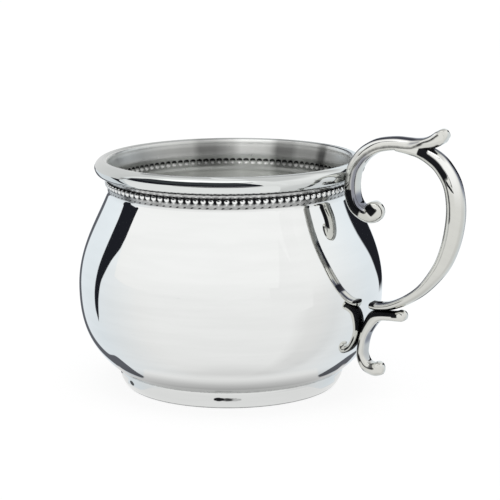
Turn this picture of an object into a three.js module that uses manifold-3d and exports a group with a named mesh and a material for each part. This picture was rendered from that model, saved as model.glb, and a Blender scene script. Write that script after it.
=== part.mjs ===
// Baby cup: a bulged bowl with an embossed row of beads round its neck, a thick rim wire, a low foot ring
// and a handle of three cast scroll bars. Millimetres, +Z up, standing on Z = 0 with the handle along +X.
// Everything is worked out round the bowl's own axis, and the last step moves the whole along X so that
// the middle of its box stands over the origin.
import * as THREE from "three";
import { mergeVertices } from "three/addons/utils/BufferGeometryUtils.js";
import Module from "manifold-3d";

const wasm = await Module();
wasm.setup();

// Sizes of the bowl, which is one spun sheet
const wall = 0.9;
const bowlRadius = 38;
const baseRadius = 28.5;
const bellyRise = 20.7; // from the base to the widest place
const waistRise = 43.75; // from the base to the corner where the neck starts
const waistRadius = 30.5;

// The bowl's outline is two cubic curves. Each pull is a share of the curve's own width and height.
const basePull = { across: 0.77, up: 0.27 };
const bellyPullDown = 0.43;
const bellyPullUp = 0.41;
const waistPull = { across: 0.37, down: 0.3 };

// Sizes of the neck, its beads and the lip
const neckRadius = 30.4;
const neckHeight = 8.5; // from the waist to the top of the lip
const lipRadius = 31.3;
const lipHeight = 3.6; // the upright stretch that the rim wire is soldered round
const beadRise = 2.6; // from the waist to the middle of the bead row
const beadRadius = 0.85;
const beadPitch = 1.84;
const beadStandout = 0.65;

// Sizes of the rim wire and the foot ring
const rimWireHeight = 3.85;
const rimWireStandout = 2.2; // how far the wire stands out past the lip's seam
const footHeight = 4.25;
const footTopRadius = 27.9;
const footBottomRadius = 26.4;
const footWall = 1.3;
const footEdgeRound = 0.35;

// Soldered pieces keep this seam between them.
const seam = 0.3;

// Sizes of the handle's bars. thick is measured in the handle's plane, and wide is across it.
const handleLean = 2; // degrees out of plumb, as soldered: the top leans towards -Y
const leanHeight = 36; // where the leaning plane crosses the bowl's own upright plane
const scrollSink = 0.45; // from the rim wire's face inwards to the point the scroll is set out from
const scrollThick = 3.4;
const scrollWide = 4.6;
const spurThick = 2.7;
const spurWide = 4.2;
const voluteRadius = 2.45;
const armThick = 4.4;
const armWide = 4.8;
const armEndThick = 1.8;
const armEndWide = 3.8;
const bracketThick = 2.3;
const bracketWide = 3.4;
const knobRadius = 1.45;
const curlRadius = 1.75;
const ballStandout = 0.2; // how far a ball end stands out on each side of its bar
const handleSeatHeight = 12; // height of the bracket's seat on the bowl, above the base

// How finely round things are divided
const turnSteps = 56; // round the bowl
const blankSteps = 224; // round the cutter that shapes the handle's seats
const outerSteps = 8; // up each of the bowl's two outer curves
const innerSteps = 7; // the same inside
const seatSteps = 16; // the same where the handle seats on it
const rimSteps = 10; // over the rim wire's rounded front
const edgeSteps = 3; // round the foot's lower edge
const barSides = 12;
const barStepsPerSpan = 3;
const capSteps = 3;
const ballSteps = { round: 14, down: 9 };
const sameCorner = 1e-4; // corners nearer than this are one corner

// Heights and radii that follow
const baseHeight = footHeight + seam;
const bellyHeight = baseHeight + bellyRise;
const waistHeight = baseHeight + waistRise;
const lipTop = waistHeight + neckHeight;
const lipFoot = lipTop - lipHeight;
const beadHeight = waistHeight + beadRise;
const beadCount = 4 * Math.round((2 * Math.PI * neckRadius) / beadPitch / 4);
const rimRadius = lipRadius + seam + rimWireStandout;
const rimMiddle = lipFoot + rimWireHeight / 2;

const vec2 = (x, y) => new THREE.Vector2(x, y);
const vec3 = (x, y, z) => new THREE.Vector3(x, y, z);

// One closed body from a geometry whose shared corners may be doubled.
function solidOf(geometry) {
  const bare = new THREE.BufferGeometry();
  bare.setAttribute("position", geometry.getAttribute("position"));
  bare.setIndex(geometry.index);
  const merged = mergeVertices(bare, sameCorner);
  return new wasm.Manifold(
    new wasm.Mesh({
      numProp: 3,
      vertProperties: merged.getAttribute("position").array,
      triVerts: new Uint32Array(merged.index.array),
    }),
  );
}

// A solid back as a geometry with flat faces.
function geometryOf(solid) {
  const mesh = solid.getMesh();
  const geometry = new THREE.BufferGeometry();
  geometry.setAttribute("position", new THREE.BufferAttribute(mesh.vertProperties, 3));
  geometry.setIndex(new THREE.BufferAttribute(mesh.triVerts, 1));
  const faceted = geometry.toNonIndexed();
  faceted.computeVertexNormals();
  return faceted;
}

// A skin over a row of closed rings of points. Neighbouring rings may have different counts, and the
// first and last ring are single points. Rings run anticlockwise seen from the last ring's end.
function skinOf(rings) {
  const places = rings.flat().flatMap((p) => [p.x, p.y, p.z]);
  const faces = [];
  let start = 0;
  for (let i = 0; i + 1 < rings.length; i += 1) {
    const near = rings[i].length;
    const far = rings[i + 1].length;
    const nearSteps = near > 1 ? near : 0;
    const farSteps = far > 1 ? far : 0;
    const farStart = start + near;
    let a = 0;
    let b = 0;
    while (a < nearSteps || b < farSteps) {
      const corner = start + (a % near);
      const opposite = farStart + (b % far);
      const nearIsBehind = b >= farSteps || (a + 1) * far <= (b + 1) * near;
      if (a < nearSteps && nearIsBehind) {
        a += 1;
        faces.push(corner, start + (a % near), opposite);
      } else {
        b += 1;
        faces.push(corner, farStart + (b % far), opposite);
      }
    }
    start = farStart;
  }
  const geometry = new THREE.BufferGeometry();
  geometry.setAttribute("position", new THREE.Float32BufferAttribute(places, 3));
  geometry.setIndex(faces);
  return geometry;
}

// A ring of points round the Z axis. Every other point may stand out by a ripple.
function ringAt(radius, z, count, ripple = 0) {
  if (radius === 0) return [vec3(0, 0, z)];
  return Array.from({ length: count }, (_, i) => {
    const angle = (2 * Math.PI * i) / count;
    const reach = radius + (i % 2 === 0 ? ripple : 0);
    return vec3(reach * Math.cos(angle), reach * Math.sin(angle), z);
  });
}

// The bowl's outer side, from the base corner up to the waist corner, as (radius, height).
function bowlCurves() {
  const baseWidth = bowlRadius - baseRadius;
  const waistWidth = bowlRadius - waistRadius;
  const upperRise = waistRise - bellyRise;
  const lower = new THREE.CubicBezierCurve(
    vec2(baseRadius, baseHeight),
    vec2(baseRadius + basePull.across * baseWidth, baseHeight + basePull.up * bellyRise),
    vec2(bowlRadius, bellyHeight - bellyPullDown * bellyRise),
    vec2(bowlRadius, bellyHeight),
  );
  const upper = new THREE.CubicBezierCurve(
    vec2(bowlRadius, bellyHeight),
    vec2(bowlRadius, bellyHeight + bellyPullUp * upperRise),
    vec2(waistRadius + waistPull.across * waistWidth, waistHeight - waistPull.down * upperRise),
    vec2(waistRadius, waistHeight),
  );
  return [lower, upper];
}

const [lowerBowl, upperBowl] = bowlCurves();

// Points of the bowl's side moved square to it, outwards where the offset is positive.
function bowlSide(offset, steps) {
  const points = [];
  for (const curve of [lowerBowl, upperBowl]) {
    for (let i = curve === upperBowl ? 1 : 0; i <= steps; i += 1) {
      const along = curve.getTangent(i / steps);
      points.push(curve.getPoint(i / steps).add(vec2(along.y, -along.x).multiplyScalar(offset)));
    }
  }
  return points;
}

// The bowl's outer radius at a height, for what is soldered to its side.
function bowlRadiusAt(height) {
  const side = bowlSide(0, seatSteps);
  const above = side.findIndex((p) => p.y >= height);
  const low = side[above - 1];
  const high = side[above];
  return THREE.MathUtils.mapLinear(height, low.y, high.y, low.x, high.x);
}

// The neck's wall above the waist: upright past the beads, then flared out to the lip.
function neckProfile(offset) {
  return {
    waist: vec2(waistRadius + offset, waistHeight),
    underBeads: vec2(neckRadius + offset, beadHeight - beadRadius),
    beads: vec2(neckRadius + offset, beadHeight),
    overBeads: vec2(neckRadius + offset, beadHeight + beadRadius),
    lipFoot: vec2(lipRadius + offset, lipFoot),
    lipShoulder: vec2(lipRadius + offset, lipTop - wall / 2),
  };
}

// The spun body: out under the base, up the outer side, over the lip and down the inner side. The lip's
// edge is rounded by half the wall, and the corner round the floor is eased by one wall.
function cupBody() {
  const ring = (p) => ringAt(p.x, p.y, turnSteps);
  const beadRow = (p) => ringAt(p.x, p.y, 2 * beadCount, beadStandout);
  const plainBeadEdge = (p) => ringAt(p.x, p.y, beadCount);
  const outer = neckProfile(0);
  const inner = neckProfile(-wall);
  const floorTop = baseHeight + wall;
  const aboveFloor = (p) => p.y > floorTop + wall / 2 && p.y < waistHeight;
  const innerSide = bowlSide(-wall, innerSteps).filter(aboveFloor);
  const floorCorner = vec2(innerSide[0].x - wall, floorTop);
  const rings = [
    ringAt(0, baseHeight, 1),
    ...bowlSide(0, outerSteps).map(ring),
    plainBeadEdge(outer.underBeads),
    beadRow(outer.beads),
    plainBeadEdge(outer.overBeads),
    ring(outer.lipFoot),
    ring(outer.lipShoulder),
    ringAt(lipRadius - wall / 2, lipTop, turnSteps),
    ring(inner.lipShoulder),
    ring(inner.lipFoot),
    plainBeadEdge(inner.overBeads),
    beadRow(inner.beads),
    plainBeadEdge(inner.underBeads),
    ring(inner.waist),
    ...innerSide.reverse().map(ring),
    ring(floorCorner),
    ringAt(0, floorTop, 1),
  ];
  return skinOf(rings);
}

// A ring turned round the Z axis from a closed outline of (radius, height) points, listed anticlockwise.
function turned(outline) {
  const closed = [...outline, outline[0]];
  return new THREE.LatheGeometry(closed, turnSteps).rotateX(Math.PI / 2);
}

// The rim wire's outline: a flat back against the lip's seam and a rounded front, grown for a clearance.
function rimOutline(grow = 0) {
  const back = lipRadius + seam;
  const front = [];
  for (let i = 0; i <= rimSteps; i += 1) {
    const angle = -Math.PI / 2 + (Math.PI * i) / rimSteps;
    const out = (rimWireStandout + grow) * Math.cos(angle);
    front.push(vec2(back + out, rimMiddle + (rimWireHeight / 2 + grow) * Math.sin(angle)));
  }
  return front;
}

// The foot ring's outline: a drawn-in wall with a small round at the edge that meets the table.
function footOutline() {
  const edge = vec2(footBottomRadius - footEdgeRound, footEdgeRound);
  const outline = [vec2(footBottomRadius - footWall, 0)];
  for (let i = 0; i <= edgeSteps; i += 1) {
    const angle = -Math.PI / 2 + (Math.PI / 2) * (i / edgeSteps);
    const corner = vec2(Math.cos(angle), Math.sin(angle)).multiplyScalar(footEdgeRound);
    outline.push(corner.add(edge));
  }
  outline.push(vec2(footTopRadius, footHeight));
  outline.push(vec2(footTopRadius - footWall, footHeight));
  return outline;
}

// A cast bar that follows a row of stations in the handle's plane. A station holds the bar's middle as
// (out, up) and its thickness and width there. The ends are domed, and grow adds a clearance all round.
function bar(stations, grow = 0) {
  const route = new THREE.CatmullRomCurve3(
    stations.map((s) => vec3(s.out, 0, s.up)),
    false,
    "catmullrom",
  );
  const spans = stations.length - 1;
  const steps = spans * barStepsPerSpan;
  const sizeAt = (t, key) => {
    const low = Math.min(Math.floor(t * spans), spans - 1);
    const size = THREE.MathUtils.lerp(stations[low][key], stations[low + 1][key], t * spans - low);
    return size / 2 + grow;
  };
  // The section's sides are turned by half a side, so that flats face outward and across.
  const section = (t, shrink, slide) => {
    const along = route.getTangent(t);
    const middle = route.getPoint(t).addScaledVector(along, slide);
    const outward = vec3(-along.z, 0, along.x);
    return Array.from({ length: barSides }, (_, i) => {
      const angle = (2 * Math.PI * (i + 0.5)) / barSides;
      const point = middle.clone().addScaledVector(outward, shrink * sizeAt(t, "thick") * Math.cos(angle));
      point.y -= shrink * sizeAt(t, "wide") * Math.sin(angle);
      return point;
    });
  };
  const dome = (t, side) => {
    const rings = [];
    for (let i = 1; i < capSteps; i += 1) {
      const angle = (Math.PI / 2) * (i / capSteps);
      rings.push(section(t, Math.cos(angle), side * sizeAt(t, "thick") * Math.sin(angle)));
    }
    const along = route.getTangent(t);
    rings.push([route.getPoint(t).addScaledVector(along, side * sizeAt(t, "thick"))]);
    return rings;
  };
  const body = Array.from({ length: steps + 1 }, (_, i) => section(i / steps, 1, 0));
  return solidOf(skinOf([...dome(0, -1).reverse(), ...body, ...dome(1, 1)]));
}

// A ball on the end of a bar of the given width.
function ball(out, up, radius, wide, grow = 0) {
  const geometry = new THREE.SphereGeometry(1, ballSteps.round, ballSteps.down);
  geometry.scale(radius + grow, wide / 2 + ballStandout + grow, radius + grow);
  geometry.translate(out, 0, up);
  return solidOf(geometry);
}

// The three bars of the handle. The upper scroll is set out from the rim wire, the bracket from its seat on
// the bowl's side, and the C scroll from its two ends, so each follows the cup when a size changes.
const scrollSeat = vec2(rimRadius - scrollSink, rimMiddle);
const seatHeight = baseHeight + handleSeatHeight;
const bracketSeat = vec2(bowlRadiusAt(seatHeight), seatHeight);
const station = (out, up, thick, wide) => ({ out, up, thick, wide });

function upperScroll(grow = 0, lift = 0) {
  const at = (out, up, thick, wide) => station(scrollSeat.x + out, scrollSeat.y + up + lift, thick, wide);
  const stations = [
    at(6.6, -9.0, scrollThick, scrollWide),
    at(4.0, -8.3, scrollThick * 1.1, scrollWide),
    at(1.9, -6.0, scrollThick * 1.08, scrollWide),
    at(1.4, -2.6, scrollThick, scrollWide),
    at(2.0, 1.5, scrollThick, scrollWide),
    at(4.4, 5.3, scrollThick, scrollWide),
    at(8.7, 8.1, scrollThick * 0.96, scrollWide),
    at(13.4, 9.0, scrollThick * 0.92, scrollWide),
    at(16.9, 8.8, scrollThick, scrollWide),
    at(19.2, 9.2, spurThick, scrollWide),
    at(21.2, 9.7, spurThick * 0.85, spurWide),
    at(23.3, 10.5, spurThick * 1.1, spurWide),
    at(25.0, 11.2, spurThick * 1.3, spurWide),
    at(25.8, 11.6, spurThick * 1.2, spurWide),
  ];
  const volute = at(7.7, -8.1);
  return bar(stations, grow).add(ball(volute.out, volute.up, voluteRadius, scrollWide, grow));
}

function lowerBracket(grow = 0) {
  const at = (out, up, thick, wide) => station(bracketSeat.x + out, bracketSeat.y + up, thick, wide);
  const stations = [
    at(11.2, 5.8, bracketThick, bracketWide),
    at(8.2, 5.7, bracketThick * 0.97, bracketWide),
    at(5.6, 5.3, bracketThick * 0.97, bracketWide),
    at(2.9, 3.0, bracketThick, bracketWide),
    at(1.4, 0.1, bracketThick, bracketWide),
    at(0.8, -3.0, bracketThick * 0.95, bracketWide),
    at(0.7, -5.3, bracketThick * 1.05, bracketWide),
    at(2.1, -7.7, bracketThick * 1.3, bracketWide),
    at(4.4, -8.2, bracketThick * 1.4, bracketWide),
  ];
  const knob = at(11.4, 6.1);
  const curl = at(5.1, -8.1);
  return bar(stations, grow)
    .add(ball(knob.out, knob.up, knobRadius, bracketWide, grow))
    .add(ball(curl.out, curl.up, curlRadius, bracketWide, grow));
}

// Between its two ends the C scroll is given by its share of the way from the top end to the bottom end,
// and by how far it stands out from the straight line between them.
function cScroll() {
  const top = vec2(scrollSeat.x + 17.0, scrollSeat.y + 8.0);
  const bottom = vec2(bracketSeat.x + 3.0, bracketSeat.y + 7.6);
  const along = bottom.clone().sub(top);
  const outward = vec2(-along.y, along.x).normalize();
  const at = (share, out, thick, wide = armWide) => {
    const middle = top.clone().addScaledVector(along, share).addScaledVector(outward, out);
    return station(middle.x, middle.y, thick, wide);
  };
  const stations = [
    at(-0.03, 0.6, armThick * 0.9),
    at(-0.02, 3.8, armThick * 1.06),
    at(0.04, 8.6, armThick),
    at(0.12, 12.1, armThick),
    at(0.23, 14.5, armThick),
    at(0.35, 15.7, armThick * 0.98),
    at(0.48, 15.8, armThick * 0.92),
    at(0.61, 14.8, armThick * 0.8),
    at(0.76, 12.1, armThick * 0.6, armWide * 0.97),
    at(0.87, 8.8, armThick * 0.48, armWide * 0.93),
    at(0.95, 5.2, armThick * 0.44, armWide * 0.87),
    at(1.0, 0.0, armEndThick, armEndWide),
  ];
  return bar(stations);
}

// The cup as the handle's seats see it: solid, and larger by the seam.
function cupBlank() {
  const neck = neckProfile(seam);
  const outline = [
    vec2(0, baseHeight - seam),
    ...bowlSide(seam, seatSteps),
    neck.underBeads.clone().add(vec2(beadStandout, 0)),
    neck.overBeads.clone().add(vec2(beadStandout, 0)),
    ...rimOutline(seam),
    vec2(0, lipTop + seam),
  ];
  const rings = outline.map((p) => ringAt(p.x, p.y, blankSteps));
  return solidOf(skinOf(rings));
}

// Tilts an upright bar into the handle's leaning plane.
function leaned(solid) {
  const geometry = geometryOf(solid);
  geometry.translate(0, 0, -leanHeight);
  geometry.rotateX(THREE.MathUtils.degToRad(handleLean));
  geometry.translate(0, 0, leanHeight);
  return solidOf(geometry);
}

const polished = new THREE.MeshStandardMaterial({ color: 0xe8e9ea, roughness: 0.06, metalness: 1 });
const cast = new THREE.MeshStandardMaterial({ color: 0xdcdcd6, roughness: 0.12, metalness: 1 });

function piece(name, geometry, material) {
  const mesh = new THREE.Mesh(geometry, material);
  mesh.name = name;
  return mesh;
}

const blank = cupBlank();
const scroll = leaned(upperScroll()).subtract(blank);
const bracket = leaned(lowerBracket()).subtract(blank);
// The arm's root is cut to the underside of the upper scroll. Copies of the scroll, each lifted a little
// further, take away what the arm would leave beside it and over it.
const scrollLifts = [0, spurThick / 2, spurThick];
const cutters = scrollLifts.map((lift) => leaned(upperScroll(seam, lift)));
cutters.push(leaned(lowerBracket(seam)), blank);
const arm = cutters.reduce((rest, cutter) => rest.subtract(cutter), leaned(cScroll()));

const cup = new THREE.Group();
cup.add(
  piece("cup_body", cupBody(), polished),
  piece("rim_wire", turned(rimOutline()), polished),
  piece("foot_ring", turned(footOutline()), polished),
);

const handle = new THREE.Group();
handle.add(
  piece("handle_upper_scroll", geometryOf(scroll), cast),
  piece("handle_c_scroll", geometryOf(arm), cast),
  piece("handle_lower_bracket", geometryOf(bracket), cast),
);
cup.add(handle);

// The middle of the box goes over the origin.
const box = new THREE.Box3().setFromObject(cup);
cup.position.x = -(box.min.x + box.max.x) / 2;

const part = new THREE.Group();
part.add(cup);

export default part;
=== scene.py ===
import math

import bpy
import numpy as np
from mathutils import Matrix, Vector

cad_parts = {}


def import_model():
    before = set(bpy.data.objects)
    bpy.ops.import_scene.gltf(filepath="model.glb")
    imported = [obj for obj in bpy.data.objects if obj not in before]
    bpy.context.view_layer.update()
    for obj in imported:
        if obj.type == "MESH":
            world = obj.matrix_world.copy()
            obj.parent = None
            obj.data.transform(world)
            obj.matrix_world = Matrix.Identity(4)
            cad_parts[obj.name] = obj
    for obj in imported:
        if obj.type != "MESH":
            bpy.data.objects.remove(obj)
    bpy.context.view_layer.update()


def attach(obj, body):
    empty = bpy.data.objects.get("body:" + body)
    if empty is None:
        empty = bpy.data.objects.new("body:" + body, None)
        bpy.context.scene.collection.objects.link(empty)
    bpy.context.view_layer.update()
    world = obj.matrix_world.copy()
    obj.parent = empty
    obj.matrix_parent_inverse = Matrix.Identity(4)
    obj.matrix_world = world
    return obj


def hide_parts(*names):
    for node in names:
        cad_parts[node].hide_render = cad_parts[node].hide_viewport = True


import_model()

MM = 0.001
AXIS_X = -13.102  # where the bowl's axis stands in the row frame, mm
VIEW_TURN = math.radians(32.0)  # from the photograph's line of sight to the handle's side-on view

# Sizes of the turned pieces, in millimetres. Outlines are lists of (radius, height).
WALL = 0.9
BASE_R, BASE_Z = 28.55, 4.45
BELLY_R, BELLY_Z = 38.0, 25.15
WAIST_R, WAIST_Z = 30.25, 48.88
NECK_R, INNER_NECK_R = 30.4, 29.5
STRIP_LOW, STRIP_HIGH = 50.0, 52.2  # the bead row's band on the outside
DIMPLES_LOW, DIMPLES_HIGH = 50.05, 52.15  # and on the inside
RIM_TOP, RIM_JOINT_R = 57.05, 31.6
SIDE_STEPS = 26  # steps in the bowl's side up to the belly, and again from there to the waist
OUTLINE_STEPS = 5  # steps in each span of a smooth outline
UNDERSIDE = [(0, 4.55), (8, 4.55), (17, 4.53), (24, 4.5), (27.6, 4.46)]
NECK = [(30.33, 49.02), (30.38, 49.2), (NECK_R, 49.42), (NECK_R, 49.65), (NECK_R, STRIP_LOW)]
ABOVE_BEADS = [(NECK_R, STRIP_HIGH), (NECK_R, 52.5), (NECK_R + 0.2, 52.58), (NECK_R + 0.24, 52.64),
               (NECK_R + 0.12, 52.98), (31.0, 53.15), (31.3, 53.6), (31.4, 56.6)]
LIP_EDGE = [(31.4, 56.95)] + [(RIM_JOINT_R - 0.02 - 1.25 * math.sin(a), 55.95 + 1.1 * math.cos(a))
                              for a in np.linspace(0, math.pi / 2, 9)]
LIP_INSIDE = [(30.3, 55.5), (30.1, 54.9), (29.8, 54.0), (29.55, 53.2), (INNER_NECK_R, 52.6),
              (INNER_NECK_R, DIMPLES_HIGH)]
LIP_ROLLED_ROWS = 5  # rows of faces over the lip that have the rim's polish
BELOW_DIMPLES = [(INNER_NECK_R, DIMPLES_LOW), (INNER_NECK_R, 49.6), (29.42, 49.2)]
INSIDE_FROM, INSIDE_TO = 5.9, 48.9  # heights between which the inside follows the outside
FLOOR_INSIDE = [(27.2, 5.62), (26.0, 5.42), (24.0, 5.38), (16.0, 5.36), (8.0, 5.35), (2.0, 5.35), (0, 5.35)]
RIM_COLUMNS = 208
RIM_ROLL = [(31.55, 53.05), (32.2, 53.1), (32.8, 53.4), (33.2, 53.85), (33.45, 54.4), (33.56, 54.9), (33.5, 55.35),
            (33.33, 55.75), (33.1, 56.1), (32.78, 56.45), (32.35, 56.78), (31.9, 56.98),
            (RIM_JOINT_R - 0.05, RIM_TOP)]
RIM_BACK = [(31.5, 56.9), (31.5, 53.2)]
FOOT_COLUMNS = 312
FOOT_BAND = [(26.3, 0.0), (26.62, 0.12), (26.95, 0.5), (27.4, 1.15), (27.85, 2.0), (28.15, 3.0), (28.3, 3.9),
             (28.3, 4.35)]
FOOT_BACK = [(27.9, 4.47), (27.0, 4.4), (26.6, 3.4), (26.2, 2.0), (25.6, 0.8), (25.25, 0.15), (25.4, 0.0)]

# The beads and the dimples behind them. Each is a cap of a sphere that stands out of its row.
BEADS = 104
BEAD_Z = 51.1
BEAD_NARROW = 0.9  # a bead is this much narrower than it is tall
DIMPLE_R, DIMPLE_DEEP = 0.82, 0.5
STEPS_PER_BEAD = 4
COLUMNS = BEADS * STEPS_PER_BEAD
# between is how dark the wall between two beads or dimples is: tarnish and painted shade
BEAD_ROW = {"r": NECK_R, "low": STRIP_LOW, "high": STRIP_HIGH, "sphere": 0.86, "stand": 0.66,
            "outwards": True, "rings": 7, "between": 1.1}
DIMPLE_ROW = {"r": INNER_NECK_R, "low": DIMPLES_LOW, "high": DIMPLES_HIGH,
              "sphere": (DIMPLE_R ** 2 + DIMPLE_DEEP ** 2) / (2 * DIMPLE_DEEP), "stand": DIMPLE_DEEP,
              "outwards": False, "rings": 4, "between": 0.3}

# Tarnish, painted shade and tone, as pairs to read off. Heights are in mm, and turns are in degrees from the handle.
UNDERSIDE_TARNISH = 0.6
BASE_CREASE = ((0, 0.45), (0.08, 0.2), (0.14, 0.0))  # tarnish and painted shade in the crease over the base, by height
BASE_SHADE = ((0, 0.48), (0.7, 0.55), (1.3, 0.42), (2.0, 0.54), (2.7, 0.62), (3.3, 0.74), (4.0, 0.87), (5.0, 1.0))
NECK_TARNISH_AND_SHADE = ((49.02, 0.4), (49.2, 0.66))  # tarnish and painted shade by height below the beads
NOTCH_LOW, NOTCH_HIGH, NOTCH_TARNISH_AND_SHADE = 49.25, 49.6, 1.1  # dark notches below the beads, between each two: tarnish and painted shade
SHOULDER_TARNISH_AND_SHADE = ((52.5, 0.62), (52.58, 1.2))  # painted shade under the rim wire, with tarnish, by height above the beads
RIM_SEAM_R, RIM_SEAM_Z = 32.2, 53.2  # the rim wire is dark inside this radius and below this height: painted shade where it overhangs the neck, and a dark joint
# Painted shade on the foot ring, by height: a contact shadow along its bottom edge, and tarnish and painted shade in
# the crease under the bowl at its top
FOOT_EDGES = ((0.0, 0.9), (0.25, 0.7), (0.6, 0.0), (3.75, 0.0), (4.0, 0.3), (4.3, 0.5))
FOOT_TONE = 0.9
SPOT_PEAK, SPOT_FALL = 2.0, 1.3  # a dark spot's darkness before it is cut off at its own amount
FOOT_SPOTS = (  # dark spots: turn and half width, height and half height, darkness
    (296.1, 2.4, 2.66, 0.5, 1.2), (300.2, 3.2, 2.6, 0.42, 0.84), (303.3, 4.2, 2.6, 0.42, 0.58),
    (241.4, 2.3, 2.8, 0.62, 1.2),
)
WALL_ZONES = (  # painted reflections on the inner wall: its tone by turn
    (-180, 0.62), (-165, 0.9), (20, 0.9), (40, 0.7), (54, 0.68), (61, 0.6), (66, 0.5), (68.5, 0.14), (71.5, 0.14),
    (75, 0.45), (86, 0.45), (90, 0.28), (98, 0.26), (102, 0.8), (106, 0.95), (117, 0.98), (121, 0.62), (125, 0.45),
    (130, 0.3), (138, 0.28), (142, 0.55), (152, 0.62), (163, 0.58), (172, 0.5), (180, 0.62),
)
ZONE_STRENGTH = ((43, 0.0), (45, 0.36), (49.9, 0.4), (50, 1.0), (52.1, 1.0), (52.3, 0.65), (53.3, 1.0),
                 (54.5, 1.15), (55.2, 0.9), (56, 0.7), (56.8, 0.4))  # how strongly the painted reflections show, by height
# painted shade over the inner wall, by height
WALL_DIMMING = ((49, 0.95), (50, 1.0), (52.3, 1.0), (53.2, 0.82), (54.0, 0.7), (55.0, 0.72), (55.6, 1.0))
BEAD_TARNISH_AND_SHADE = ((108, 1.9), (140, 1.3))  # tarnish and painted shade on the beads, by turn from the back of the cup
BEAD_CLEARS = ((108, 2.2), (140, 3.2))  # how fast it clears towards a bead's top
BEAD_LEAST = 0.35  # the part of it that is left straight above and below a bead's middle
DIMPLE_LEAST, DIMPLE_MORE, DIMPLE_DARK_BY = 0.2, 0.66, 0.3  # painted shade in the dimples; the last as a part of the dimple's radius


def read_off(value, pairs):
    """The result for a value from pairs of (value, result), with straight lines between them."""
    return np.interp(value, *np.array(pairs, float).T)


def bezier(p0, p1, p2, p3, steps, skip_first=False):
    """Points of a cubic curve in (radius, height)."""
    t = np.linspace(0, 1, steps + 1)[1 if skip_first else 0:, None]
    p0, p1, p2, p3 = (np.array(p, float) for p in (p0, p1, p2, p3))
    return ((1 - t) ** 3 * p0 + 3 * (1 - t) ** 2 * t * p1 + 3 * (1 - t) * t * t * p2 + t ** 3 * p3).tolist()


def through(points, steps):
    """A smooth curve through all the points, steps to a span."""
    p = np.array(points, float)
    p = np.vstack([2 * p[0] - p[1], p, 2 * p[-1] - p[-2]])
    out = []
    for i in range(1, len(p) - 2):
        for s in range(steps):
            t = s / steps
            out.append(0.5 * (2 * p[i] + (p[i + 1] - p[i - 1]) * t
                              + (2 * p[i - 1] - 5 * p[i] + 4 * p[i + 1] - p[i + 2]) * t * t
                              + (3 * p[i] - p[i - 1] - 3 * p[i + 1] + p[i + 2]) * t ** 3))
    out.append(p[-2])
    return np.array(out).tolist()


def offset(path, d):
    """A path moved square to itself, to its right as it runs."""
    p = np.array(path, float)
    g = np.gradient(p, axis=0)
    g /= np.linalg.norm(g, axis=1)[:, None]
    return (p + d * np.stack([g[:, 1], -g[:, 0]], 1)).tolist()


def add_object(name, data):
    obj = bpy.data.objects.new(name, data)
    bpy.context.scene.collection.objects.link(obj)
    return obj


class Skin:
    """Vertices, faces and the two values kept with them while a mesh is put together: a darkening that is tarnish in
    crevices and painted shade and reflections elsewhere, and a tone whose changes are mostly painted shade and
    highlight.
    """

    def __init__(self):
        self.verts, self.faces, self.slots, self.sharp = [], [], [], []
        self.tarnish, self.tone = [], []

    def add(self, point, tarnish=0.0, tone=1.0):
        self.verts.append(tuple(point))
        self.tarnish.append(tarnish)
        self.tone.append(tone)
        return len(self.verts) - 1

    def face(self, corners, slot=0):
        self.faces.append(corners)
        self.slots.append(slot)

    def ring(self, r, z, columns, tarnish=0.0, tone=1.0):
        """A ring of vertices. The tarnish and painted shade, and the tone, are each one value or one for each
        column.
        """
        if r < 1e-6:
            return [self.add((0, 0, z), float(np.mean(tarnish)), float(np.mean(tone)))]
        tarnish, tone = np.broadcast_to(tarnish, columns), np.broadcast_to(tone, columns)
        return [self.add((r * math.cos(a), r * math.sin(a), z), float(tarnish[i]), float(tone[i]))
                for i, a in enumerate(np.arange(columns) * 2 * math.pi / columns)]

    def bridge(self, low, high, slot=0):
        """Faces between two rings, either of which may be a single vertex."""
        n = max(len(low), len(high))
        for i in range(n):
            j = (i + 1) % n
            if len(low) == 1:
                self.face((low[0], high[j], high[i]), slot)
            elif len(high) == 1:
                self.face((low[i], low[j], high[0]), slot)
            else:
                self.face((low[i], low[j], high[j], high[i]), slot)

    def build(self, name, node, materials):
        mesh = bpy.data.meshes.new(name)
        places = (np.array(self.verts) + (AXIS_X, 0, 0)) * MM
        mesh.from_pydata(places.tolist(), [], self.faces)
        for m in materials:
            mesh.materials.append(m)
        mesh.polygons.foreach_set("material_index", self.slots)
        mesh.polygons.foreach_set("use_smooth", [True] * len(self.faces))
        if self.sharp:
            wanted = {tuple(sorted(e)) for e in self.sharp}
            for e in mesh.edges:
                if tuple(sorted(e.vertices)) in wanted:
                    e.use_edge_sharp = True
        mesh.attributes.new("tarnish", "FLOAT", "POINT").data.foreach_set("value", self.tarnish)
        mesh.attributes.new("tone", "FLOAT", "POINT").data.foreach_set("value", self.tone)
        mesh.validate()
        mesh.update()
        obj = add_object(name, mesh)
        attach(obj, "root")
        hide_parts(node)
        return obj


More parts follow.
